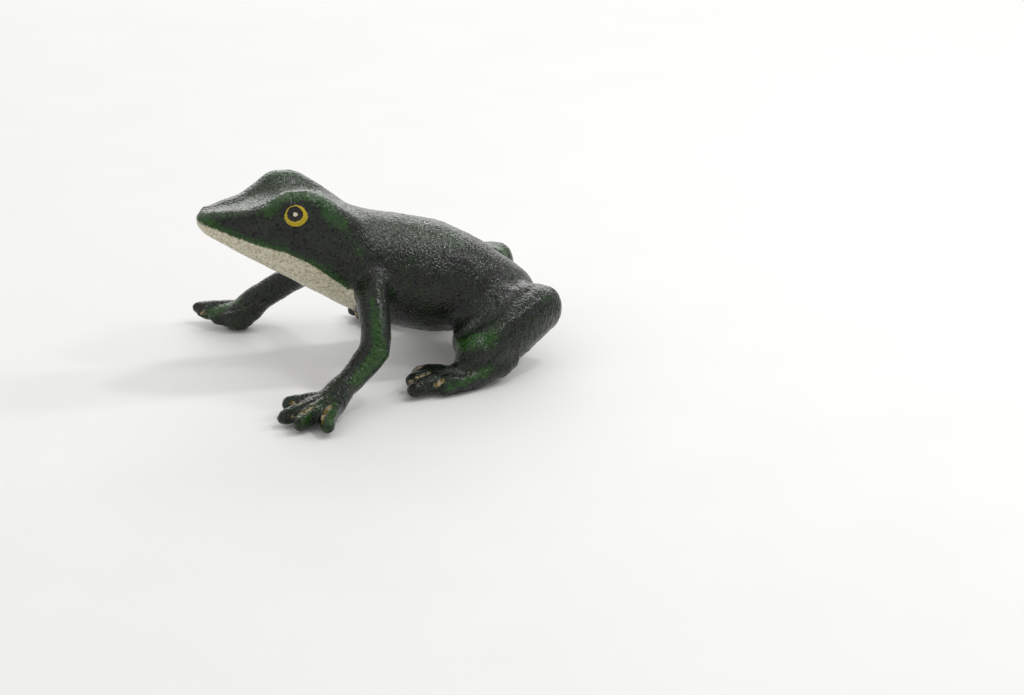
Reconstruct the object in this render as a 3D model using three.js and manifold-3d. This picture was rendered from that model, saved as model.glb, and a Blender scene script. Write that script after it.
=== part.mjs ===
// Cast-iron frog figurine, crouching with its fore-legs spread, built from separate castings:
// a hollow torso with the head, a belly plate that closes it, and four solid legs screwed on
// from inside. Millimetres. +Z is up, the frog looks along -Y and its left side is +X.

import * as THREE from 'three';
import { mergeVertices } from 'three/addons/utils/BufferGeometryUtils.js';
import Module from 'manifold-3d';

const wasm = await Module();
wasm.setup();

// ---- Driving dimensions ----

// The outlines below are drawn at full size. This stretches them, and every place on them, along
// each axis; walls, gaps and screws keep their own sizes.
const stretch = { x: 1, y: 1, z: 1 };

const gap = 0.3; // air left between neighbouring pieces
const wall = 5; // iron around the hollow of the torso
const hollowFront = -17 * stretch.y; // the hollow ends behind the neck
const hollowRear = 62 * stretch.y; // and before the rump
const partingLevel = 23 * stretch.z; // height of the joint between torso and belly plate
const lipHeight = 2.5; // rim of the belly plate that stands up inside the torso
const lipWidth = 2.5;

// A leg is seated flat on the torso, square to X, at the bottom of a pocket of its own outline.
const seatAt = (name, x, y, z, padRadius, padStretch) =>
  ({ name, x: x * stretch.x, y: y * stretch.y, z: z * stretch.z, padRadius, padStretch });
const shoulder = seatAt('shoulder', 16.5, -7, 45, 12, 1);
const hip = seatAt('hip', 17, 53, 31, 11, 1.3);
const padDepth = 6.5; // iron between a seat and the hollow

const legScrew = { radius: 2, headRadius: 3.6, headHeight: 2.2, grip: 9 };
const bellyScrew = { radius: 1.8, headRadius: 3.4, headHeight: 1.8, grip: 10 };
const slot = { width: 0.9, depth: 1 };
const drillPoint = 1; // a blind hole is this much deeper than its screw
const washer = { radius: 4.8, thickness: 0.9 };
const bellyPost = { radius: 5.2, places: { front: 14, rear: 36 } }; // under the roof of the hollow
const underBellyHead = 4; // iron between a belly screw's head and the joint

// ---- Body outline ----

// Upright ovals from the rump to the snout: place along Y, top, widest and bottom level, half
// width, and how square the upper and the lower half are (2 is an ellipse).
const oval = (y, top, widest, bottom, half, squareTop = 2, squareBottom = 2) =>
  ({ y, top, widest, bottom, half, squareTop, squareBottom });
const torsoStations = [
  oval(76, 32, 27, 22, 8),
  oval(70, 38.5, 28, 19.5, 13),
  oval(62, 45, 30, 17, 17.5),
  oval(48, 55.5, 33, 14.5, 23.5),
  oval(33, 63, 36, 13.5, 26.5),
  oval(18, 67, 39, 15.5, 26.5),
  oval(3, 70.5, 44, 20.5, 24),
  oval(-12, 75, 52, 28.5, 22, 2.2, 2.2),
  oval(-24, 81, 61, 36.5, 22, 2.8, 2.4),
  oval(-36, 84.5, 67, 44.5, 21.6, 3.2, 2.5),
  oval(-48, 82.5, 70, 52, 18.6, 3.2, 2.6),
  oval(-60, 79.5, 72, 59.5, 14, 3, 2.8),
  oval(-70, 78, 74, 66, 9.5, 2.5, 2.8),
  oval(-77.5, 77, 74.5, 71, 5, 2, 2.4),
];

// Each station of a limb or ridge is an oval ring: its centre, half width across and half depth.
const ring = (x, y, z, wide, deep) => ({ x, y, z, wide, deep });
const stretched = ({ x, y, z }) => new THREE.Vector3(x * stretch.x, y * stretch.y, z * stretch.z);

// A ridge runs from the snout over the eye, where it swells into the brow, and down the neck.
const browRidge = [
  ring(3, -76, 73.5, 3.5, 4.5),
  ring(6.4, -66, 75, 4.6, 5.2),
  ring(10, -56, 76.2, 5.8, 5.8),
  ring(13.4, -46, 78.8, 6.6, 7.2),
  ring(15.6, -35, 80.6, 6.8, 8.6),
  ring(14.6, -26, 77.5, 6.6, 7.8),
  ring(12, -15, 69.5, 6.4, 7),
  ring(9, -4, 61.5, 6, 6.5),
];

// ---- Legs ----

const leftArm = [
  ring(10, -5, 48, 10, 11),
  ring(19, -6, 44.5, 9.4, 10),
  ring(28, -7.5, 40.4, 7.6, 8.4),
  ring(34.5, -8.6, 35, 6.8, 7.2),
  ring(40.2, -9.6, 29.4, 6.6, 7),
  ring(44.5, -11.6, 23.2, 6.8, 6.6),
  ring(48.2, -17.5, 18.8, 6.2, 6.2),
  ring(51.4, -23.2, 15, 5.6, 5.8),
  ring(54.8, -29.7, 11.6, 6.2, 5.4),
  ring(58.6, -36.4, 6, 8, 6.4),
  ring(63, -45.5, 4.2, 6.6, 4.6),
];
const leftToes = [
  [ring(56, -33, 8, 4, 4.5), ring(52.5, -45, 6.6, 3.8, 4.2), ring(49.6, -54.6, 5.4, 3.6, 4)],
  [ring(58, -34, 8, 4, 4.5), ring(60, -48, 6, 3.8, 4.4), ring(61.4, -59, 3.6, 3.4, 3.6)],
  [ring(60, -34, 8, 4, 4.5), ring(66.4, -46, 6, 3.8, 4.4), ring(71.4, -54, 3.2, 3.4, 3.6)],
  [ring(59, -33, 8, 4, 4.5), ring(70, -38.4, 6, 3.8, 4), ring(80.6, -42.4, 3.8, 3.6, 3.4)],
];

const rightArm = [
  ring(-10, -5, 48, 10, 10),
  ring(-19.5, -7.5, 45, 9, 9),
  ring(-30, -10.5, 40, 7.2, 7.4),
  ring(-38, -13.5, 36.4, 6.6, 6.8),
  ring(-45.5, -16.5, 33, 6.4, 6.6),
  ring(-53, -21, 27.8, 6.2, 6.6),
  ring(-57.5, -27, 23.2, 6.2, 6.4),
  ring(-60, -33, 19, 6, 6.4),
  ring(-62, -39.5, 15, 6.6, 6.6),
  ring(-65, -47, 6.8, 8, 7.2),
  ring(-68.5, -57, 5.6, 6.4, 5.2),
];
const rightToes = [
  [ring(-66.5, -43, 8.6, 4.4, 5), ring(-73.5, -55, 7.8, 4, 4.4), ring(-80, -68, 7.8, 3.2, 3.2)],
  [ring(-65, -43, 8, 4.4, 5), ring(-70.5, -55, 6.8, 4, 4.4), ring(-76.4, -66.4, 6, 3.2, 3.2)],
  [ring(-63, -43, 7, 4.4, 5), ring(-66, -53, 5.8, 3.8, 4.4), ring(-69.5, -61.5, 5, 3.4, 3.4)],
  [ring(-62, -41, 6.4, 4, 4.8), ring(-61, -48, 5, 3.6, 4), ring(-60.4, -53.6, 4.2, 3.2, 3.2)],
];

// A hind leg is folded: thigh and shank lie side by side and slope down forwards to the foot.
const hipRoot = [ring(8, 53, 31, 11, 9), ring(20, 53, 28, 11, 9), ring(34, 52, 23, 9, 8)];
const thigh = [
  ring(14, 77, 27.5, 6.5, 8),
  ring(18, 67, 27.5, 8, 9.5),
  ring(23.5, 54, 25, 8.5, 10),
  ring(29, 41, 20.5, 8.2, 10),
  ring(35, 28, 15, 6.5, 8.5),
];
const shank = [
  ring(19, 81, 26.5, 6.5, 9),
  ring(23.5, 71.5, 25.5, 7.8, 11.2),
  ring(30, 60, 21.5, 8.4, 12),
  ring(35.5, 48, 16.5, 8.5, 12.4),
  ring(39.6, 36, 12.8, 8.2, 11.8),
  ring(40.5, 26.5, 12, 6.8, 9),
];
const hindFoot = [
  ring(37, 56, 10, 5, 5),
  ring(41.5, 38, 6.6, 6.6, 6),
  ring(43.5, 26, 5.6, 8, 6.2),
  ring(43.5, 14, 5.2, 8, 5.8),
];
const hindToes = [
  [ring(41, 22, 7.4, 4.4, 5), ring(36, 15, 6.6, 4, 4.4), ring(30.4, 8.6, 5.2, 3.6, 3.8)],
  [ring(43, 20, 7, 4.4, 5), ring(41, 11, 6, 4, 4.4), ring(39.4, 3, 4.8, 3.6, 3.8)],
  [ring(45, 20, 7, 4.4, 5), ring(47, 10, 5.6, 4, 4.4), ring(48.8, 1.2, 3.6, 3.6, 3.6)],
  [ring(46, 26, 5, 4, 4.6), ring(48.8, 20, 4.4, 3.6, 4), ring(50, 15.4, 3.2, 3.4, 3.2)],
];

// The right hind leg is the left one mirrored, splayed about its rear end, set higher there and
// drawn in a little.
const splay = {
  x: 20, y: 74, angle: THREE.MathUtils.degToRad(7.5), outward: 6, forward: 6, lift: 5.5, length: 0.94,
};

// ---- Solids ----

function solid(geometry) {
  const bare = geometry.clone();
  bare.deleteAttribute('normal');
  bare.deleteAttribute('uv');
  const merged = mergeVertices(bare, 1e-4);
  const mesh = new wasm.Mesh({
    numProp: 3,
    vertProperties: Float32Array.from(merged.getAttribute('position').array),
    triVerts: Uint32Array.from(merged.index.array),
  });
  return new wasm.Manifold(mesh);
}

function geometryOf(body) {
  const mesh = body.getMesh();
  const geometry = new THREE.BufferGeometry();
  geometry.setAttribute('position', new THREE.BufferAttribute(mesh.vertProperties, 3));
  geometry.setIndex(new THREE.BufferAttribute(mesh.triVerts, 1));
  geometry.computeVertexNormals();
  return geometry;
}

function block(x0, x1, y0, y1, z0, z1) {
  const box = new THREE.BoxGeometry(x1 - x0, y1 - y0, z1 - z0);
  box.translate((x0 + x1) / 2, (y0 + y1) / 2, (z0 + z1) / 2);
  return solid(box);
}

function barAlongX(radius, x0, x1, y, z, segments = 24, longer = 1) {
  const bar = new THREE.CylinderGeometry(radius, radius, Math.abs(x1 - x0), segments);
  bar.rotateZ(Math.PI / 2);
  bar.scale(1, longer, 1);
  bar.translate((x0 + x1) / 2, y, z);
  return solid(bar);
}

function barAlongZ(radius, z0, z1, x, y, segments = 24) {
  const bar = new THREE.CylinderGeometry(radius, radius, z1 - z0, segments);
  bar.rotateX(Math.PI / 2);
  bar.translate(x, y, (z0 + z1) / 2);
  return solid(bar);
}

// Carries the grid of a sphere onto rings along a spine; the poles become its two ends.
function skin(segments, rings, surfacePoint) {
  const grid = new THREE.SphereGeometry(1, segments, rings);
  const position = grid.getAttribute('position');
  const uv = grid.getAttribute('uv');
  for (let i = 0; i < position.count; i += 1) {
    const along = (1 - Math.cos(Math.PI * uv.getY(i))) / 2;
    const point = surfacePoint(along, 2 * Math.PI * uv.getX(i));
    position.setXYZ(i, point.x, point.y, point.z);
  }
  return solid(grid);
}

// A ring's share of its full size: 1 along the spine, falling off in a quarter circle at an end.
function roundedEnd(distanceToEnd, endRadius) {
  const inside = Math.min(1, Math.max(0, distanceToEnd / endRadius));
  return Math.sqrt(1 - (1 - inside) ** 2);
}

const smoothCurve = (points) => new THREE.CatmullRomCurve3(points, false, 'catmullrom', 0.5);

// The value of one of the torso's sizes anywhere between its stations.
function torsoSize(name, factor = 1) {
  const curve = smoothCurve(torsoStations.map((s) => new THREE.Vector3(s[name] * factor, 0, 0)));
  return (along) => curve.getPoint(along).x;
}

const torsoSizes = {
  y: torsoSize('y', stretch.y),
  top: torsoSize('top', stretch.z),
  widest: torsoSize('widest', stretch.z),
  bottom: torsoSize('bottom', stretch.z),
  half: torsoSize('half', stretch.x),
  squareTop: torsoSize('squareTop'),
  squareBottom: torsoSize('squareBottom'),
};
const torsoLength = torsoSizes.y(0) - torsoSizes.y(1);
const torsoEndRadius = 5;

// The body's outline, moved outwards by `extra`.
function torsoBody(extra, segments = 28, rings = 30) {
  return skin(segments, rings, (along, angle) => {
    const size = Object.fromEntries(Object.entries(torsoSizes).map(([name, at]) => [name, at(along)]));
    const upper = Math.sin(angle) > 0;
    const height = upper ? size.top - size.widest : size.widest - size.bottom;
    const power = 2 / (upper ? size.squareTop : size.squareBottom);
    const share = roundedEnd(Math.min(along, 1 - along) * torsoLength, torsoEndRadius);
    const across = Math.sign(Math.cos(angle)) * Math.abs(Math.cos(angle)) ** power;
    const upward = Math.sign(Math.sin(angle)) * Math.abs(Math.sin(angle)) ** power;
    return new THREE.Vector3(
      (size.half + extra) * share * across,
      size.y,
      size.widest + (height + extra) * share * upward,
    );
  });
}

function limb(stations, segments, rings, extra) {
  const inPlan = (stretch.x + stretch.y) / 2;
  const ovalSize = ({ wide, deep }) => new THREE.Vector3(wide * inPlan, deep * stretch.z, 0);
  const spine = smoothCurve(stations.map(stretched));
  const sizes = smoothCurve(stations.map(ovalSize));
  const length = spine.getLength();
  const up = new THREE.Vector3(0, 0, 1);
  return skin(segments, rings, (along, angle) => {
    const size = sizes.getPoint(along);
    const tangent = spine.getTangent(along);
    const across = new THREE.Vector3().crossVectors(up, tangent).normalize();
    const over = new THREE.Vector3().crossVectors(tangent, across);
    const share = roundedEnd(Math.min(along, 1 - along) * length, Math.min(size.x, size.y));
    return spine
      .getPoint(along)
      .addScaledVector(across, (size.x + extra) * share * Math.cos(angle))
      .addScaledVector(over, (size.y + extra) * share * Math.sin(angle));
  });
}

const browRidgeOn = (side) =>
  limb(browRidge.map((s) => ring(side * s.x, s.y, s.z, s.wide, s.deep)), 14, 16, 0);
const joined = (bodies) => bodies.reduce((whole, body) => whole.add(body));

// A leg grown by `extra` all round; the grown copy cuts its pocket in the torso.
function foreLeg(arm, toes, extra) {
  return joined([limb(arm, 14, 20, extra), ...toes.map((toe) => limb(toe, 8, 7, extra))]);
}

function splayed(station) {
  const fromPivot = new THREE.Vector3(splay.x - station.x, (station.y - splay.y) * splay.length, 0);
  fromPivot.applyAxisAngle(new THREE.Vector3(0, 0, 1), -splay.angle);
  const lift = splay.lift * THREE.MathUtils.smoothstep(station.y, 20, splay.y);
  const x = fromPivot.x - splay.x - splay.outward;
  return ring(x, fromPivot.y + splay.y - splay.forward, station.z + lift, station.wide, station.deep);
}

function hindLeg(side, extra) {
  const place = side > 0 ? (station) => station : splayed;
  const part = (stations, segments, rings) => limb(stations.map(place), segments, rings, extra);
  const root = hipRoot.map((s) => ring(side * s.x, s.y, s.z, s.wide, s.deep));
  return joined([
    limb(root, 14, 6, extra),
    part(thigh, 14, 12),
    part(shank, 14, 14),
    part(hindFoot, 12, 8),
    ...hindToes.map((toe) => part(toe, 8, 7)),
  ]);
}

// ---- Castings ----

const sides = { left: 1, right: -1 };
const foreLegs = {
  left: (extra) => foreLeg(leftArm, leftToes, extra),
  right: (extra) => foreLeg(rightArm, rightToes, extra),
};
const legs = Object.entries(sides).flatMap(([name, side]) => [
  { name: `${name}_front_leg`, sideName: name, side, seat: shoulder, shape: foreLegs[name] },
  { name: `${name}_hind_leg`, sideName: name, side, seat: hip, shape: (extra) => hindLeg(side, extra) },
]);
const posts = Object.entries(bellyPost.places).map(([name, y]) => ({ name, y: y * stretch.y }));
const reach = 200; // further out than any surface of the frog

function outboardOf(x, side) {
  const edges = [side * x, side * reach].sort((a, b) => a - b);
  return block(...edges, -reach, reach, -reach, reach);
}

const slice = (bottom, top) => block(-reach, reach, -reach, reach, bottom, top);

function seatPad({ side, seat }, extra) {
  const inner = side * (seat.x - padDepth - extra);
  const outboard = side * (seat.x + padDepth);
  return barAlongX(seat.padRadius + extra, inner, outboard, seat.y, seat.z, 20, seat.padStretch);
}

// The room that a leg screw's head and washer take on the inner face of a pad.
function fastenerRoom({ side, seat }) {
  const face = side * (seat.x - padDepth);
  return barAlongX(washer.radius + gap, 0, face, seat.y, seat.z);
}

function legScrewHole({ side, seat }) {
  const inner = side * (seat.x - padDepth - drillPoint);
  const tip = side * (seat.x + legScrew.grip + drillPoint);
  return barAlongX(legScrew.radius + gap, inner, tip, seat.y, seat.z, 12);
}

const postBars = (radius, bottom, top) =>
  joined(posts.map(({ y }) => barAlongZ(radius, bottom, top, 0, y)));

function castings() {
  const plateTop = partingLevel - gap;
  const bellySeat = plateTop - underBellyHead;
  const outer = joined([torsoBody(0), ...Object.values(sides).map(browRidgeOn)]);
  const pocket = (leg) => leg.shape(gap).intersect(outboardOf(leg.seat.x - gap, leg.side));
  const pockets = joined(legs.map(pocket));
  const pads = joined(legs.map((leg) => seatPad(leg, 0)));
  const grownPads = joined(legs.map((leg) => seatPad(leg, gap)));
  const alongHollow = (inset) =>
    block(-reach, reach, hollowFront + inset, hollowRear - inset, -reach, reach);
  const hollow = torsoBody(-wall, 20, 24).intersect(alongHollow(0));
  const bellyHoles = postBars(bellyScrew.radius + gap, 0, partingLevel + bellyScrew.grip + drillPoint);

  const torso = outer
    .intersect(slice(partingLevel, reach))
    .subtract(hollow.subtract(pads).subtract(postBars(bellyPost.radius, 0, reach)))
    .subtract(pockets)
    .subtract(joined(legs.map(legScrewHole)))
    .subtract(bellyHoles);

  const lipOutside = torsoBody(-wall - gap, 20, 24).intersect(alongHollow(gap));
  const lipInside = torsoBody(-wall - gap - lipWidth, 20, 24).intersect(alongHollow(gap + lipWidth));
  const lip = lipOutside
    .subtract(lipInside)
    .intersect(slice(plateTop - gap, partingLevel + lipHeight))
    .subtract(grownPads)
    .subtract(joined(legs.map(fastenerRoom)))
    .subtract(postBars(bellyPost.radius + gap, plateTop, reach));
  const plate = outer
    .intersect(slice(0, plateTop))
    .subtract(hollow.subtract(postBars(bellyPost.radius, 0, partingLevel)))
    .add(lip)
    .subtract(pockets)
    .subtract(bellyHoles)
    .subtract(postBars(bellyScrew.headRadius + gap, 0, bellySeat));

  return { torso, plate, bellySeat };
}

const aboveGround = (body) => body.intersect(slice(0, reach));
const legCasting = (leg) =>
  aboveGround(leg.shape(0).intersect(outboardOf(leg.seat.x, leg.side))).subtract(legScrewHole(leg));

// ---- Fasteners ----

// A slotted cheese-head screw: the head stands on y = 0 and the shank runs down -Y.
function slottedScrew({ radius, headRadius, headHeight }, length) {
  const chamfer = 0.4;
  const profile = [
    [0, -length], [radius - chamfer, -length], [radius, chamfer - length], [radius, 0], [headRadius, 0],
    [headRadius, headHeight - chamfer], [headRadius - chamfer, headHeight], [0, headHeight],
  ];
  const turned = new THREE.LatheGeometry(profile.map(([x, y]) => new THREE.Vector2(x, y)), 16);
  const half = slot.width / 2;
  const cut = block(-reach, reach, headHeight - slot.depth, reach, -half, half);
  return geometryOf(solid(turned).subtract(cut));
}

function flatWasher(hole) {
  const { radius, thickness } = washer;
  const corners = [[hole, 0], [radius, 0], [radius, thickness], [hole, thickness], [hole, 0]];
  const turned = new THREE.LatheGeometry(corners.map(([x, y]) => new THREE.Vector2(x, y)), 20);
  return geometryOf(solid(turned));
}

// ---- Assembly ----

const finish = (color, roughness, metalness) =>
  new THREE.MeshStandardMaterial({ color, roughness, metalness });
const greenPaint = () => finish(0x1d2b1b, 0.35, 0.1);
const zincPlate = () => finish(0x9a9c98, 0.4, 0.9);
const frog = new THREE.Group();

function addPiece(name, geometry, material) {
  const piece = new THREE.Mesh(geometry, material);
  piece.name = name;
  frog.add(piece);
  return piece;
}

const { torso, plate, bellySeat } = castings();
addPiece('torso_shell', geometryOf(torso), greenPaint());
addPiece('belly_plate', geometryOf(plate), greenPaint());

const legScrewLength = 2 * gap + washer.thickness + padDepth + legScrew.grip;
for (const leg of legs) {
  const { sideName, side, seat } = leg;
  addPiece(leg.name, geometryOf(legCasting(leg)), greenPaint());

  const washerFace = seat.x - padDepth - gap;
  const washerName = `${sideName}_${seat.name}_washer`;
  const disc = addPiece(washerName, flatWasher(legScrew.radius + gap), zincPlate());
  disc.rotation.z = side * Math.PI / 2;
  disc.position.set(side * washerFace, seat.y, seat.z);

  const headFace = washerFace - washer.thickness - gap;
  const screwName = `${sideName}_${seat.name}_screw`;
  const bolt = addPiece(screwName, slottedScrew(legScrew, legScrewLength), zincPlate());
  bolt.rotation.z = side * Math.PI / 2;
  bolt.position.set(side * headFace, seat.y, seat.z);
}

for (const { name, y } of posts) {
  const length = 2 * gap + underBellyHead + bellyScrew.grip;
  const bolt = addPiece(`${name}_belly_screw`, slottedScrew(bellyScrew, length), zincPlate());
  bolt.rotation.x = -Math.PI / 2;
  bolt.position.set(0, y, bellySeat - gap);
}

// The origin is on the ground under the middle of the frog.
const middle = new THREE.Box3().setFromObject(frog).getCenter(new THREE.Vector3());
frog.position.set(-middle.x, -middle.y, 0);

export default frog;
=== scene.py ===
# Painted cast-iron frog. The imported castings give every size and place; this script merges them
# into one sculpted skin, cuts that skin along the castings' own joints, roughens it as a sand
# casting is, and paints it.
import math

import bpy
import numpy as np
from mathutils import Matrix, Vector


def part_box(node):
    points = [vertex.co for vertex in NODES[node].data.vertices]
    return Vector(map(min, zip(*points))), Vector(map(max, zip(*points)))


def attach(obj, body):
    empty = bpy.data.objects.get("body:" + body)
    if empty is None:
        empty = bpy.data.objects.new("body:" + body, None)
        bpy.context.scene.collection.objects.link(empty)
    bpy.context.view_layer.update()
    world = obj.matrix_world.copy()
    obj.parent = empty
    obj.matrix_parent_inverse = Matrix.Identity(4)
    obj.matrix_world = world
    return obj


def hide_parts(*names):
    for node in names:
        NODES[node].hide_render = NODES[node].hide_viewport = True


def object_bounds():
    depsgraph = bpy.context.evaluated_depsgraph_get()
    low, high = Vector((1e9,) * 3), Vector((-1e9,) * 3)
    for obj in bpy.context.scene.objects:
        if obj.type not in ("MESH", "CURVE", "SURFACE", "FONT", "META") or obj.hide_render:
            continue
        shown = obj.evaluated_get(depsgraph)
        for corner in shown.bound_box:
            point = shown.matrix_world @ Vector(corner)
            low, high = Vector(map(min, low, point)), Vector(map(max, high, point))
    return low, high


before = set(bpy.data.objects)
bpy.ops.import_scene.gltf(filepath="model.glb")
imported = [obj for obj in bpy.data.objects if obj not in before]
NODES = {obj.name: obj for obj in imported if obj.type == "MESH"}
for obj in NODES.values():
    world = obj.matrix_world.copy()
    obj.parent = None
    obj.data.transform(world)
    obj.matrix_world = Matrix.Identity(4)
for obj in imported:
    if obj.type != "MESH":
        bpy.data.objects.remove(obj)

import openvdb
from mathutils import Vector

cad_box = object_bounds()

# ---- Sizes, in millimetres ----

MM = 0.001
PITCH = 0.56  # grid step of the distance fields
BAND = 9.0  # distances are true this far from a surface
OVERLAP = 0.7  # paint bridges a joint: this wide a strip belongs to both castings
SEAM_CLOSING = 0.25  # grows each casting enough to bridge the gap the frame leaves at a joint
BODY_FILLET = 5.0
TOE_FILLET = 1.3
FEET_TOP = (13, 24)  # the toe fillet fades into the body fillet between these heights
SKIN_SMOOTHING = 0.9
TORSO_SMOOTHING = 2.4
BROAD_SHAPE = 2.2  # blur that leaves only broad shapes; ridges and hollows stand out against it
SKIN_DEPTH = 2.2  # deeper than this under the skin a piece keeps the frame's exact shape
FASTENER_ROOM = 0.3
SCREW_SEAT = 1.5  # a belly screw's recess begins this far above the face of its head
THINNING = 0.85  # share of the faces taken from the hidden inside of each casting
SKIN_REACH = (0.15, 0.5)  # a point nearer the skin than this is outside paint; farther, inside iron
LATTICE = 61  # random numbers along each side of a noise block, after which it repeats
NOISE_SHIFT = 1000  # keeps the noise's cell numbers above zero

FASTENERS = sorted(name for name in NODES if name.endswith(("_screw", "_washer")))
CASTINGS = sorted(name for name in NODES if name not in FASTENERS)

# ---- Distance fields ----

low_corner = np.floor((np.array(cad_box[0]) / MM - BAND) / PITCH).astype(int)
high_corner = np.ceil((np.array(cad_box[1]) / MM + BAND) / PITCH).astype(int)
grid_shape = tuple(high_corner - low_corner + 1)
grid_transform = openvdb.createLinearTransform(voxelSize=PITCH)


def node_surface(name):
    mesh = NODES[name].data
    mesh.calc_loop_triangles()
    points = np.empty(len(mesh.vertices) * 3, np.float32)
    mesh.vertices.foreach_get("co", points)
    triangles = np.empty(len(mesh.loop_triangles) * 3, np.int32)
    mesh.loop_triangles.foreach_get("vertices", triangles)
    return points.reshape(-1, 3) / MM, triangles.reshape(-1, 3)


def distance_field(points, **faces):
    """Signed distance in millimetres on the grid: negative inside the closed surface."""
    grid = openvdb.FloatGrid.createLevelSetFromPolygons(
        points.astype(np.float32), transform=grid_transform, halfWidth=BAND / PITCH, **faces
    )
    field = np.empty(grid_shape, np.float32)
    grid.copyToArray(field, ijk=tuple(int(i) for i in low_corner))
    return field


def surface_of(field, level=0.0):
    """Points and quads of the surface where the field crosses the level."""
    grid = openvdb.FloatGrid(BAND)
    grid.transform = grid_transform
    grid.copyFromArray(field, ijk=tuple(int(i) for i in low_corner))
    return grid.convertToQuads(isovalue=level)


def blurred(field, sigma):
    """Gaussian blur along each axis, sigma in millimetres."""
    reach = int(math.ceil(2.5 * sigma / PITCH))
    steps = np.arange(-reach, reach + 1)
    weights = np.exp(-0.5 * (steps * PITCH / sigma) ** 2)
    weights /= weights.sum()
    for axis in range(3):
        pad = [(reach, reach) if a == axis else (0, 0) for a in range(3)]
        padded = np.pad(field, pad, mode="edge")
        size = field.shape[axis]
        total = 0
        for start, weight in enumerate(weights):
            window = [slice(None)] * 3
            window[axis] = slice(start, start + size)
            total = total + np.float32(weight) * padded[tuple(window)]
        field = total
    return field


def closed(field, radius):
    """The solid with every hollow corner rounded to the radius, as filler does."""
    points, quads = surface_of(field, radius)
    return distance_field(points, quads=quads) + np.float32(radius)


def smoothstep(low, high, x):
    t = np.clip((x - low) / (high - low), 0, 1)
    return t * t * (3 - 2 * t)


def mixed(a, b, share):
    return a + (b - a) * share


def sampled(field, points):
    """Trilinear value of a field at points in millimetres."""
    place = points / PITCH - low_corner
    place = np.clip(place, 0, np.array(grid_shape) - 1.001)
    cell = place.astype(int)
    part = (place - cell).astype(np.float32)
    total = np.zeros(len(points), np.float32)
    for dx in (0, 1):
        wx = part[:, 0] if dx else 1 - part[:, 0]
        for dy in (0, 1):
            wy = part[:, 1] if dy else 1 - part[:, 1]
            for dz in (0, 1):
                wz = part[:, 2] if dz else 1 - part[:, 2]
                total += wx * wy * wz * field[cell[:, 0] + dx, cell[:, 1] + dy, cell[:, 2] + dz]
    return total


def outward(field, points, step=PITCH):
    """Unit direction out of the solid at points."""
    slope = np.empty((len(points), 3), np.float32)
    for axis in range(3):
        offset = np.zeros(3)
        offset[axis] = step
        slope[:, axis] = sampled(field, points + offset) - sampled(field, points - offset)
    return slope / np.maximum(np.linalg.norm(slope, axis=1, keepdims=True), 1e-6)


LEGS = [name for name in CASTINGS if name.endswith("_leg")]
MIDDLE_X = 0.5  # the frog's own centre plane; the uneven pose puts it beside the frame's origin

# ---- One skin over all the castings ----

cast_fields = {}
for name in CASTINGS:
    points, triangles = node_surface(name)
    cast_fields[name] = distance_field(points, triangles=triangles)
fastener_field = np.full(grid_shape, BAND, np.float32)
for name in FASTENERS:
    points, triangles = node_surface(name)
    fastener_field = np.minimum(fastener_field, distance_field(points, triangles=triangles))

axis_points = [(np.arange(n) + low_corner[i]) * PITCH for i, n in enumerate(grid_shape)]
grid_x, grid_y, grid_z = np.meshgrid(*axis_points, indexing="ij", sparse=True)


def merged_skin():
    """The whole frog as one solid with soft corners. The closed hollow counts as solid here."""
    bridged = np.minimum.reduce(list(cast_fields.values())) - np.float32(SEAM_CLOSING)
    toes = closed(bridged, TOE_FILLET) + np.float32(SEAM_CLOSING)
    body = closed(bridged, BODY_FILLET) + np.float32(SEAM_CLOSING)
    above_feet = smoothstep(*FEET_TOP, grid_z).astype(np.float32)
    soft = mixed(toes, body, above_feet)
    fine = blurred(soft, SKIN_SMOOTHING)
    coarse = blurred(soft, TORSO_SMOOTHING)
    legs = np.minimum.reduce([cast_fields[name] for name in LEGS])
    on_torso = smoothstep(1, 7, legs - cast_fields["torso_shell"])
    behind_head = smoothstep(-30, -18, grid_y)
    return mixed(fine, coarse, (on_torso * behind_head * above_feet).astype(np.float32))


skin = merged_skin()
skin_blur = blurred(skin, BROAD_SHAPE)


# ---- Numbers that vary over the surface ----

def value_noise(points, cell, seed):
    """Smooth random numbers from -1 to 1 with the given cell size in millimetres."""
    lattice = np.random.default_rng(seed).uniform(-1, 1, (LATTICE,) * 3).astype(np.float32)
    place = points / cell + NOISE_SHIFT
    base = np.floor(place).astype(int)
    part = (place - base).astype(np.float32)
    part = part * part * part * (part * (part * 6 - 15) + 10)
    total = np.zeros(len(points), np.float32)
    for corner in np.ndindex(2, 2, 2):
        weight = np.prod([part[:, a] if corner[a] else 1 - part[:, a] for a in range(3)], axis=0)
        index = (base + corner) % LATTICE
        total += weight * lattice[index[:, 0], index[:, 1], index[:, 2]]
    return total


def distance_to_path(points, path):
    """Distance from each point to the nearest place on the path, in millimetres."""
    best = np.full(len(points), 1e3)
    for a, b in zip(path[:-1], path[1:]):
        a, b = np.array(a, float), np.array(b, float)
        along = np.clip((points - a) @ (b - a) / ((b - a) @ (b - a)), 0, 1)
        best = np.minimum(best, np.linalg.norm(points - a - along[:, None] * (b - a), axis=1))
    return best


def stroke(points, path, width):
    """1 on the path, fading to 0 at about twice the width from it."""
    return np.exp(-((distance_to_path(points, path) / width) ** 2))


def spot(points, centre, radius):
    """1 at the centre, fading to 0 at about twice the radius."""
    return np.exp(-((np.linalg.norm(points - np.array(centre), axis=1) / radius) ** 2))


def both_sides(path):
    """The path given on the frog's left, and its mirror image."""
    return [path, [(2 * MIDDLE_X - x, y, z) for x, y, z in path]]


# ---- Places on the frog: marks are given on its left and mirrored where it is symmetric ----

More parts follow.
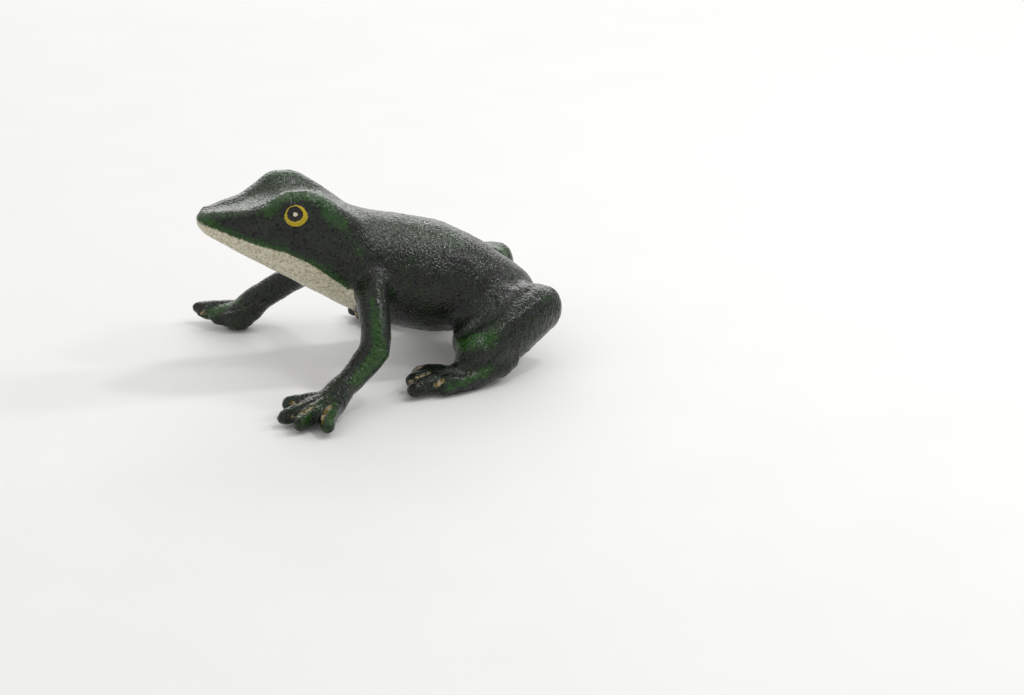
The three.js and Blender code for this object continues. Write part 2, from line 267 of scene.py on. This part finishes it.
EYE = (22.2, -40.9, 79.6)
EYE_RADIUS = 4.9
NOSTRIL = (4.9, -75, 78.6)
BROW_TOP = (MIDDLE_X + 13, -42, 88)
BROW_GREEN = (MIDDLE_X + 15.5, -38, 88)
DARK_CHEEK = (MIDDLE_X + 22, -36, 70)
LIP = [(3, -79, 76), (6.4, -77.4, 75.6), (12, -67.7, 71.6), (16.3, -57.2, 67.4), (20.3, -45.2, 63.8),
       (21.8, -35.2, 58.4), (21.3, -24.6, 49.8), (20.8, -19.2, 45)]
BROW_EDGE = [(18.5, -51.2, 82.5), (17.2, -47.3, 85.9), (16.9, -42.5, 87.8), (17.3, -36.1, 88.5),
             (17.5, -30.3, 86.8), (20.6, -26, 81)]
NECK_FOLD = [(20.6, -26, 81), (20.6, -22.5, 74.9), (19.3, -16.4, 66.6), (21.8, -11.3, 58.4)]
SNOUT_EDGE = [(18.5, -51.2, 82.5), (13, -62, 80.5), (5.5, -74.5, 78.5)]
ARM_RIDGE = [(29.8, -8.2, 49.6), (41.4, -9.9, 38.7), (48.8, -10.9, 29), (51, -12.1, 25.5),
             (57, -23, 17.5), (62.9, -32.2, 11.5)]
ARM_FRONT = [(37.2, -12.8, 42.6), (42.7, -12.9, 37.1), (48.8, -13.8, 29.4), (53.4, -17.6, 22.5)]
ELBOW = [(50.9, -10.7, 22.3), (53.3, -15.2, 21.2), (57.7, -25.1, 16.1)]
LEG_RIDGE = [(28.4, 71.6, 34.1), (33.2, 63.1, 32.4), (38, 53.7, 29.3), (41.4, 44.8, 26.3),
             (44.1, 39.8, 23.6)]
LEG_FRONT = [(38, 27, 18), (43.5, 28.7, 21.6), (44.5, 38, 22.8)]
LEG_REAR = [(41.2, 54.2, 15.2), (35.2, 65.1, 17.6)]
FOOT_EDGE = [(53, 18, 4.5), (51.2, 26.2, 6.9), (47.6, 37.6, 9.4)]
BACK_PATCH = [(11, 14, 65), (12.5, 26.6, 61.3), (12.4, 34.8, 58.4)]
HAND_GREEN = [(62.6, -39.7, 11.4), (69, -46.1, 9.2), (72, -51.1, 7.1)]
LITTLE_FINGER = [(66, -38, 9.5), (78, -41.8, 7.7)]
RIGHT_ARM = [(-31, -10, 48), (-45, -16, 39), (-57, -27, 29), (-61, -39, 22), (-66, -50, 13.5),
             (-68, -63, 8)]
LEG_GROOVE = [(35, 35, 27.5), (32, 41, 30), (30, 48, 33), (28, 52, 34)]
THIGH_RIDGE = [(24, 33, 26), (25.4, 37.9, 30.4), (24.9, 45.1, 34.2), (22.9, 52.7, 36.5)]
LEG_UNDER = [(47.5, 15, 11.5), (48.6, 21, 10.8), (49.2, 28, 10.2), (48, 35.7, 12)]
SPINE = [(MIDDLE_X, -30, 83), (MIDDLE_X, -12, 75), (MIDDLE_X, 8, 68), (MIDDLE_X, 26, 65)]
HIP_HUMP = (18.4, 33.5, 54.5)
SHIN_END = (46.5, 30, 18.5)
FAR_HAND = [(-62, -48, 15), (-66, -54, 11.5), (-67, -61, 8.8), (-70, -65, 5.6)]
FLASH = [(-54.7, -40.8, 15.6), (-56.2, -47.7, 12.2), (-59.2, -54.3, 9.4), (-66.5, -63.6, 5.5)]
FAR_KNEE = [(-22.3, 62.7, 41.8), (-20.2, 66.4, 39.2)]
TOE_RIDGES = [
    [(58.7, -27, 15.6), (63.8, -33.3, 10.8), (69.6, -36.6, 8.8), (77, -41, 7.6)],
    [(66.8, -44.9, 10.4), (71, -50.3, 8.4), (72.3, -55.8, 5.5)],
    [(62.2, -45.5, 10.1), (63.2, -51.4, 9), (63.8, -57, 7.7)],
]
TOE_GAPS = [
    [(60.5, -50.5, 9.6), (54.7, -52.9, 7.6)],
    [(68, -47.8, 9.8), (69, -51, 8.8), (65.5, -56.5, 6)],
    [(69, -40, 10.4), (72.2, -43.2, 8.8), (77, -46, 6)],
    [(34.6, 9.1, 9.5), (33.4, 7.1, 8.6)],
    [(44.1, 10.9, 9.7), (44.2, 6.7, 8.4), (43, 2, 5.8)],
    [(50.4, 15.4, 7.8), (50.7, 12, 6.2)],
    [(-71, -56.5, 10), (-71, -61.5, 8.5), (-72, -66.7, 6.5)],
    [(-58, 3, 4.6), (-51, 3.5, 5)],
]


# Each row is a path, the width of the mark along it and how far it stands out, in millimetres.
RAISED_ON_BOTH_SIDES = [(BROW_EDGE, 2.4, 0.45), (SNOUT_EDGE, 2.2, 0.35), (LIP, 1.4, 0.3)]
RAISED = [
    (SPINE, 11, 1.2),
    (ARM_RIDGE, 2.0, 0.4),
    (LEG_RIDGE, 2.4, 0.8),
    (LEG_UNDER, 2.2, -1.2),
    (RIGHT_ARM, 1.6, 0.3),
    (LEG_GROOVE, 3.0, -0.4),
    (THIGH_RIDGE, 3.6, 1.4),
    (FLASH, 0.9, 0.9),
]
TOE_RIDGE_WIDTH, TOE_RIDGE_RISE = 1.1, 0.7
TOE_GAP_WIDTH, TOE_GAP_DEPTH = 1.2, 0.8
# Each row is a centre, a radius and how far the swelling stands out, in millimetres.
SWELLINGS = [
    ((MIDDLE_X, -69, 80), 6.5, 1.2),
    ((MIDDLE_X, -76, 78), 4.5, 1.2),
    (HIP_HUMP, 6, 0.6),
    (SHIN_END, 6, 1.3),
]


def on_side(side, place):
    """A place given on the frog's left, or its mirror image when side is -1."""
    return (MIDDLE_X + side * (place[0] - MIDDLE_X), place[1], place[2])


def eye_relief(points, side):
    """The eye stands out as a low button with a ditch round it."""
    away = np.linalg.norm(points - np.array(on_side(side, EYE)), axis=1)
    button = 0.45 * (1 - smoothstep(0.6 * EYE_RADIUS, 1.15 * EYE_RADIUS, away))
    ditch = 0.25 * np.exp(-(((away - 1.3 * EYE_RADIUS) / 1.1) ** 2))
    return button - ditch


def relief(points):
    """How far the casting's surface stands out from the plain skin, and its sand grain."""
    height = 0.3 * value_noise(points, 11, 1) + 0.14 * value_noise(points, 4.5, 2)
    grain = 0.75 * value_noise(points, 1.1, 3) + 0.25 * value_noise(points, 2.1, 4)
    patchy = 0.8 + 0.2 * value_noise(points, 16, 5)
    height += 0.15 * patchy * grain * (1 - 0.8 * spot(points, HIP_HUMP, 4))
    for side in (1, -1):
        height += eye_relief(points, side)
        height += (1.2 - 0.4 * side) * spot(points, on_side(side, BROW_TOP), 6)
        height += 0.35 * spot(points, on_side(side, NOSTRIL), 1.6)
    for centre, radius, rise in SWELLINGS:
        height += rise * spot(points, centre, radius)
    for path, width, rise in RAISED_ON_BOTH_SIDES:
        for one in both_sides(path):
            height += rise * stroke(points, one, width)
    for path, width, rise in RAISED:
        height += rise * stroke(points, path, width)
    for path in TOE_RIDGES:
        height += TOE_RIDGE_RISE * stroke(points, path, TOE_RIDGE_WIDTH)
    for path in TOE_GAPS:
        height -= TOE_GAP_DEPTH * stroke(points, path, TOE_GAP_WIDTH)
    height += 0.3 * value_noise(points, 3.2, 6) * (1 - smoothstep(9, 15, points[:, 2]))
    return height, grain


# Each row is a path, the width of the brushed mark and how much green it holds.
GREEN_ON_BOTH_SIDES = [
    (LIP, 2.6, 0.95),
    (BROW_EDGE, 3.2, 0.75),
    (SNOUT_EDGE, 2.4, 0.4),
    (NECK_FOLD, 4.5, 0.65),
]
GREEN_MARKS = [
    (ARM_FRONT, 2, 0.7),
    (ARM_RIDGE, 3.2, 0.5),
    (ELBOW, 2.6, 0.8),
    (LEG_FRONT, 4.5, 0.85),
    (LEG_RIDGE, 3.5, 0.35),
    (LEG_REAR, 2.6, 0.6),
    (FOOT_EDGE, 2.2, 0.8),
    (BACK_PATCH, 6, 0.55),
    (HAND_GREEN, 3.5, 0.7),
    (LITTLE_FINGER, 2.2, 0.7),
    (FAR_KNEE, 6, 0.9),
    (FAR_HAND, 2.6, 0.8),
    (RIGHT_ARM, 2.2, 0.55),
]
THROAT_BACK = -14.5  # the cream ends here, between the arms
THROAT_HALF_WIDTH = 24
THROAT_BOTTOM = 24
GAP_PAINT_WIDTH = 1.5


def throat(points):
    """Signed distance in millimetres: above zero where the throat and chest are cream."""
    lip = np.array(LIP)
    order = np.argsort(lip[:, 1])
    lip_level = np.interp(points[:, 1], lip[order, 1], lip[order, 2])
    behind = THROAT_BACK - points[:, 1] + 1.5 * value_noise(points, 3.5, 11)
    cream = np.minimum(lip_level - 0.8 - points[:, 2], behind)
    cream = np.minimum(cream, points[:, 2] - THROAT_BOTTOM)
    return np.where(np.abs(points[:, 0] - MIDDLE_X) < THROAT_HALF_WIDTH, cream, -5)


def brushed_green(points, ridge):
    """How much bright green the brush left, from 0 to 1: most of it on ridges and edges."""
    green = 0.3 * smoothstep(0.15, 0.9, ridge)
    green += 0.28 * value_noise(points, 13, 21) + 0.16 * value_noise(points, 5, 22)
    for path, width, amount in GREEN_ON_BOTH_SIDES:
        for one in both_sides(path):
            green += amount * stroke(points, one, width)
    for path, width, amount in GREEN_MARKS:
        green += amount * stroke(points, path, width)
    for side in (1, -1):
        green += 0.6 * spot(points, on_side(side, BROW_GREEN), 7)
        green -= 0.5 * spot(points, on_side(side, DARK_CHEEK), 8)
    return np.clip(green, 0, 1)


def paint_marks(points, grain):
    """Per-vertex numbers that the paint reads: cream is a signed distance, the others 0 to 1."""
    ridge = sampled(skin_blur, points) - sampled(skin, points)
    gap = sum(stroke(points, path, GAP_PAINT_WIDTH) for path in TOE_GAPS)
    crevice = smoothstep(0.1, 0.8, -ridge) * (1 - smoothstep(11, 16, points[:, 2]))
    # painted sheen: how far the head and back face upward, which later turns them pale grey-green in place
    # of a reflection of the bright room
    up = outward(skin_blur, points)[:, 2] * smoothstep(45, 62, points[:, 2])
    return {
        "cream": throat(points),
        "green": brushed_green(points, ridge),
        "gap": np.clip(gap + 0.35 * crevice, 0, 1),
        "painted_top_sheen": smoothstep(0.45, 1.0, up),
        "grain": 0.5 + 0.5 * grain,
    }


# ---- The six castings ----

def belly_screw_recess():
    """Straight room below the heads of the two screws that hold the belly plate."""
    room = np.full(grid_shape, BAND, np.float32)
    for name in FASTENERS:
        if "belly" in name:
            low, high = (np.array(corner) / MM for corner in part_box(name))
            centre = (low + high) / 2
            radius = (high[0] - low[0]) / 2 + FASTENER_ROOM
            across = np.sqrt((grid_x - centre[0]) ** 2 + (grid_y - centre[1]) ** 2) - radius
            below = grid_z - (low[2] + SCREW_SEAT)
            room = np.minimum(room, np.maximum(across, below).astype(np.float32))
    return room


recess = belly_screw_recess()


def casting_field(name):
    """Sculpted skin outside, cut to this casting's share; the frame's own shape inside."""
    own = cast_fields[name]
    others = np.minimum.reduce([cast_fields[other] for other in CASTINGS if other != name])
    share = 0.5 * (own - others) - np.float32(OVERLAP / 2)
    depth = smoothstep(SKIN_DEPTH, SKIN_DEPTH + 1, -skin).astype(np.float32)
    field = np.maximum(skin, mixed(share, own, depth))
    field = np.maximum(field, np.float32(FASTENER_ROOM) - fastener_field)
    return np.maximum(field, -recess)


def casting_mesh(name):
    """The casting's rough mesh with its paint marks, and how far each vertex is on the skin."""
    points, quads = surface_of(casting_field(name))
    points = points.astype(np.float64)
    on_skin = 1 - smoothstep(*SKIN_REACH, np.abs(sampled(skin, points)))
    height, grain = relief(points)
    marks = paint_marks(points, grain)
    moved = points + outward(skin_blur, points) * (height * on_skin)[:, None]
    moved[:, 2] = np.maximum(moved[:, 2], 0)
    mesh = bpy.data.meshes.new(name + "_skin")
    mesh.from_pydata((moved * MM).tolist(), [], quads[:, ::-1].tolist())
    mesh.validate()
    mesh.update()
    for key, values in marks.items():
        mesh.attributes.new(key, "FLOAT", "POINT").data.foreach_set("value", values.astype(np.float32))
    mesh.shade_smooth()
    return mesh, on_skin


def casting_piece(name):
    """The casting as an object; its hidden inside is thinned out, its skin keeps every face."""
    mesh, on_skin = casting_mesh(name)
    piece = bpy.data.objects.new(name + "_painted", mesh)
    bpy.context.scene.collection.objects.link(piece)
    hidden = np.flatnonzero(on_skin == 0)
    inside = piece.vertex_groups.new(name="inside")
    inside.add(hidden.tolist(), 1.0, "REPLACE")
    thin = piece.modifiers.new("thin_inside", "DECIMATE")
    thin.vertex_group = inside.name
    thin.ratio = 1 - THINNING * len(hidden) / len(on_skin)
    evaluated = piece.evaluated_get(bpy.context.evaluated_depsgraph_get())
    piece.data = bpy.data.meshes.new_from_object(evaluated)
    piece.modifiers.clear()
    piece.vertex_groups.clear()
    bpy.data.meshes.remove(mesh)
    return piece


# ---- Materials ----

class Shader:
    """Builds a material's nodes; each method adds one node and returns its output."""

    def __init__(self, name):
        self.material = bpy.data.materials.new(name)
        self.material.use_nodes = True
        self.nodes = self.material.node_tree.nodes
        self.links = self.material.node_tree.links
        self.surface = self.nodes["Principled BSDF"]
        coordinates = self.nodes.new("ShaderNodeTexCoord")
        self.place = self.vector("SCALE", coordinates.outputs["Object"], scale=1 / MM)

    def put(self, socket, value):
        if isinstance(value, bpy.types.NodeSocket):
            self.links.new(value, socket)
        else:
            socket.default_value = value

    def vector(self, operation, a, b=None, scale=None):
        node = self.nodes.new("ShaderNodeVectorMath")
        node.operation = operation
        self.put(node.inputs[0], a)
        if b is not None:
            self.put(node.inputs[1], b)
        if scale is not None:
            node.inputs["Scale"].default_value = scale
        return node.outputs["Value" if operation in ("LENGTH", "DISTANCE") else "Vector"]

    def math(self, operation, a, b=0.0, c=0.0):
        node = self.nodes.new("ShaderNodeMath")
        node.operation = operation
        for socket, value in zip(node.inputs, (a, b, c)):
            self.put(socket, value)
        return node.outputs[0]

    def step(self, low, high, value):
        node = self.nodes.new("ShaderNodeMapRange")
        node.interpolation_type = "SMOOTHSTEP"
        self.put(node.inputs["Value"], value)
        node.inputs["From Min"].default_value = low
        node.inputs["From Max"].default_value = high
        return node.outputs["Result"]

    def noise(self, size, detail=2.0, output="Fac"):
        """Noise with the given grain size in millimetres."""
        node = self.nodes.new("ShaderNodeTexNoise")
        self.put(node.inputs["Vector"], self.place)
        node.inputs["Scale"].default_value = 1 / size
        node.inputs["Detail"].default_value = detail
        return node.outputs[output]

    def grains(self, size):
        """Distance from the middle of the nearest sand grain, in grain sizes."""
        node = self.nodes.new("ShaderNodeTexVoronoi")
        node.feature = "SMOOTH_F1"
        self.put(node.inputs["Vector"], self.place)
        node.inputs["Scale"].default_value = 1 / size
        return node.outputs["Distance"]

    def attribute(self, name):
        node = self.nodes.new("ShaderNodeAttribute")
        node.attribute_name = name
        return node.outputs["Fac"]

    def mix(self, share, a, b):
        node = self.nodes.new("ShaderNodeMix")
        node.data_type = "RGBA"
        self.put(node.inputs["Factor"], share)
        self.put(node.inputs[6], a)
        self.put(node.inputs[7], b)
        return node.outputs[2]

    def bump(self, height, distance, strength=1.0, normal=None, invert=False):
        """The surface direction after a bump of the given height in millimetres."""
        node = self.nodes.new("ShaderNodeBump")
        node.invert = invert
        self.put(node.inputs["Height"], height)
        node.inputs["Distance"].default_value = distance * MM
        node.inputs["Strength"].default_value = strength
        if normal is not None:
            self.put(node.inputs["Normal"], normal)
        return node.outputs["Normal"]


BLACK_GREEN = (0.005, 0.007, 0.005, 1)
DARK_GREEN = (0.007, 0.017, 0.005, 1)
GREEN = (0.010, 0.048, 0.003, 1)
LIGHT_GREEN = (0.035, 0.105, 0.014, 1)
# painted sheen: pale grey-green laid on up-facing surfaces, standing in for the reflection of the bright
# room
TOP_SHEEN_GREY = (0.13, 0.16, 0.12, 1)
CREAM = (0.66, 0.62, 0.48, 1)
OLD_CREAM = (0.34, 0.31, 0.19, 1)
GAP_CREAM = (0.32, 0.26, 0.16, 1)
OCHRE = (0.12, 0.085, 0.012, 1)
YELLOW = (0.46, 0.34, 0.010, 1)
PUPIL = (0.012, 0.011, 0.010, 1)
BRIGHT_ZINC = (0.60, 0.61, 0.60, 1)
DULL_ZINC = (0.42, 0.42, 0.40, 1)
ZINC_RUST = (0.20, 0.13, 0.07, 1)
PAPER = [(0.80, 0.80, 0.795, 1), (0.84, 0.84, 0.835, 1)]

GRAIN_SIZE = 1 / 1.1
GRAIN_HEIGHT = 0.34
ORANGE_PEEL = 0.05


# Each row is a shift from the eye's middle, a radius, and the paint of one disc, lowest first.
EYE_DISCS = [
    ((0, 0, 0), EYE_RADIUS + 0.45, PUPIL),
    ((0, 0, 0), EYE_RADIUS, YELLOW),
    ((0, -0.5, 1.1), 3.4, PUPIL),
    ((0, -0.45, 1.0), 0.95, CREAM),
]
BRUSH_WOBBLE = 0.9
BRUSH_EDGE = 0.14


def eye_paint(shader, colour, side):
    """Hand-painted discs, so their edges wobble."""
    wander = shader.vector("SUBTRACT", shader.noise(1.25, output="Color"), (0.5, 0.5, 0.5))
    place = shader.vector("ADD", shader.place, shader.vector("SCALE", wander, scale=BRUSH_WOBBLE))
    eye = on_side(side, EYE)
    for shift, radius, paint in EYE_DISCS:
        centre = tuple(a + b for a, b in zip(eye, shift))
        distance = shader.vector("DISTANCE", place, centre)
        colour = shader.mix(shader.step(radius + BRUSH_EDGE, radius - BRUSH_EDGE, distance), colour, paint)
    return colour


def green_enamel(shader):
    """Near-black enamel with brighter green brushed on, in specks where the brush was dry; the up-facing
    head and back get a painted sheen of pale grey-green.
    """
    colour = shader.mix(shader.step(0.42, 0.68, shader.noise(5, 4)), BLACK_GREEN, DARK_GREEN)
    specks = shader.math("MULTIPLY_ADD", shader.noise(1.3, 2), 1.8, -0.9)
    brushed = shader.math("ADD", shader.attribute("green"), specks)
    on_grains = shader.math("MULTIPLY_ADD", shader.attribute("grain"), 0.5, -0.25)
    brushed = shader.math("ADD", brushed, on_grains)
    colour = shader.mix(shader.step(0.35, 0.95, brushed), colour, GREEN)
    colour = shader.mix(shader.math("MULTIPLY", shader.step(0.95, 1.5, brushed), 0.5), colour, LIGHT_GREEN)
    # painted sheen: up-facing head and back lightened to pale grey-green in patches, standing in for
    # reflected room light
    sheen_share = shader.math("MULTIPLY", shader.attribute("painted_top_sheen"), shader.step(0.3, 0.7, shader.noise(1.0, 3)))
    return shader.mix(shader.math("MULTIPLY", sheen_share, 0.6), colour, TOP_SHEEN_GREY)


def throat_share(shader):
    """1 where the cream paint is, with a ragged edge."""
    ragged = shader.math("MULTIPLY_ADD", shader.noise(1.1, 3), 2.4, -1.2)
    return shader.step(-0.6, 0.6, shader.math("ADD", shader.attribute("cream"), ragged))


def old_cream(shader):
    """Yellowed cream paint with dark pits."""
    colour = shader.mix(shader.step(0.35, 0.75, shader.noise(1.3, 3)), CREAM, OLD_CREAM)
    return shader.mix(shader.step(0.68, 0.74, shader.noise(0.8, 1)), colour, DARK_GREEN)


def toe_gap_paint(shader, colour):
    """Old cream and ochre left between the toes."""
    ragged = shader.math("MULTIPLY_ADD", shader.noise(1.0, 3), 2.0, -1.0)
    share = shader.step(0.5, 0.75, shader.math("ADD", shader.attribute("gap"), ragged))
    old = shader.mix(shader.step(0.4, 0.62, shader.noise(1.9, 2)), GAP_CREAM, OCHRE)
    return shader.mix(share, colour, old)


def sand_cast_gloss(shader, cream):
    """Thick gloss over sand grain: bright on the grains, dull in the pits and on the cream."""
    dull = shader.math("MULTIPLY_ADD", shader.noise(2.2, 3), 0.3, 0.15)
    shader.put(shader.surface.inputs["Roughness"], shader.math("MULTIPLY_ADD", cream, 0.22, dull))
    grains = shader.grains(GRAIN_SIZE)
    normal = shader.bump(grains, GRAIN_HEIGHT, invert=True)
    normal = shader.bump(shader.noise(0.5, 0), ORANGE_PEEL, normal=normal)
    shader.put(shader.surface.inputs["Normal"], normal)
    shader.put(shader.surface.inputs["Coat Normal"], normal)
    pit = shader.step(0.35, 0.8, grains)
    shader.put(shader.surface.inputs["Specular IOR Level"], shader.math("MULTIPLY_ADD", pit, -0.12, 0.2))
    shader.put(shader.surface.inputs["Coat Weight"], shader.math("MULTIPLY_ADD", pit, -0.22, 0.42))
    shader.surface.inputs["Coat Roughness"].default_value = 0.08


def painted_iron(name, eyes=False):
    shader = Shader(name)
    cream = throat_share(shader)
    colour = shader.mix(cream, green_enamel(shader), old_cream(shader))
    colour = toe_gap_paint(shader, colour)
    if eyes:
        for side in (1, -1):
            colour = eye_paint(shader, colour, side)
    shader.put(shader.surface.inputs["Base Color"], colour)
    sand_cast_gloss(shader, cream)
    return shader.material


def zinc_plate():
    shader = Shader("zinc_plate")
    tint = shader.mix(shader.step(0.35, 0.7, shader.noise(1.1, 3)), DULL_ZINC, BRIGHT_ZINC)
    spots = shader.step(0.62, 0.72, shader.noise(0.8, 4))
    shader.put(shader.surface.inputs["Base Color"], shader.mix(spots, tint, ZINC_RUST))
    roughness = shader.math("MULTIPLY_ADD", shader.noise(0.4, 3), 0.35, 0.22)
    shader.put(shader.surface.inputs["Roughness"], roughness)
    shader.put(shader.surface.inputs["Normal"], shader.bump(shader.noise(0.25, 3), 0.04, 0.5))
    shader.surface.inputs["Metallic"].default_value = 0.9
    return shader.material


for name in CASTINGS:
    piece = casting_piece(name)
    piece.data.materials.append(painted_iron(name + "_paint", eyes=name == "torso_shell"))
    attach(piece, "root")
    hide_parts(name)

plating = zinc_plate()
for name in FASTENERS:
    NODES[name].data.materials.clear()
    NODES[name].data.materials.append(plating)


# ---- Studio ----

def pale_floor():
    mesh = bpy.data.meshes.new("floor")
    half = 6.0
    corners = [(-half, -half, 0), (half, -half, 0), (half, half, 0), (-half, half, 0)]
    mesh.from_pydata(corners, [], [(0, 1, 2, 3)])
    floor = bpy.data.objects.new("floor", mesh)
    bpy.context.scene.collection.objects.link(floor)
    shader = Shader("paper")
    tint = shader.mix(shader.noise(60, 3), *PAPER)
    shader.put(shader.surface.inputs["Base Color"], tint)
    shader.surface.inputs["Roughness"].default_value = 0.75
    floor.data.materials.append(shader.material)


def soft_box(name, direction, distance, size, power):
    """A lit panel that faces the frog from the given direction, in metres and watts."""
    light = bpy.data.lights.new(name, "AREA")
    light.shape = "RECTANGLE"
    light.size, light.size_y = size
    light.energy = power
    holder = bpy.data.objects.new(name, light)
    holder.location = Vector(direction).normalized() * distance
    holder.rotation_euler = Vector(direction).to_track_quat("Z", "Y").to_euler()
    bpy.context.scene.collection.objects.link(holder)


# Each row is a panel's name, its direction from the frog, distance, width and height in metres,
# and power in watts.
PANELS = [
    ("low_window", (0.08, 0.77, 0.63), 1.3, (0.12, 0.18), 2.3),
    ("high_window", (0.1, 0.42, 0.9), 1.3, (0.12, 0.18), 2.3),
    ("side_window", (0.5, 0.45, 0.74), 1.3, (0.11, 0.16), 1.6),
    ("overhead", (-0.2, 0.0, 1), 1.6, (2.4, 2.4), 2.6),
    ("left_fill", (0.3, -1, 0.9), 1.8, (1.2, 1.0), 2),
    ("backdrop", (-1, 0.33, 0.5), 2.6, (2.6, 1.4), 27),
]
ROOM_LIGHT = (1.0, 0.995, 0.98, 1)
ROOM_STRENGTH = 0.6


def studio():
    pale_floor()
    for name, direction, distance, size, power in PANELS:
        soft_box(name, direction, distance, size, power)
    world = bpy.data.worlds.new("studio")
    world.use_nodes = True
    background = world.node_tree.nodes["Background"]
    background.inputs["Color"].default_value = ROOM_LIGHT
    background.inputs["Strength"].default_value = ROOM_STRENGTH
    bpy.context.scene.world = world
    bpy.context.scene.view_settings.view_transform = "Standard"


CAMERA_PLACE = (0.9542, -0.2531, 0.3755)
CAMERA_HEADING = (-0.949, 0.315, 0)
CAMERA_PITCH = 20.494  # degrees below level
FOCAL_LENGTH = 81.86


def camera():
    lens = bpy.data.cameras.new("camera")
    lens.lens = FOCAL_LENGTH
    lens.sensor_width = 36
    holder = bpy.data.objects.new("camera", lens)
    holder.location = CAMERA_PLACE
    level = Vector(CAMERA_HEADING).normalized()
    pitch = math.radians(CAMERA_PITCH)
    forward = level * math.cos(pitch) - Vector((0, 0, 1)) * math.sin(pitch)
    holder.rotation_euler = forward.to_track_quat("-Z", "Y").to_euler()
    bpy.context.scene.collection.objects.link(holder)
    bpy.context.scene.camera = holder


studio()
camera()
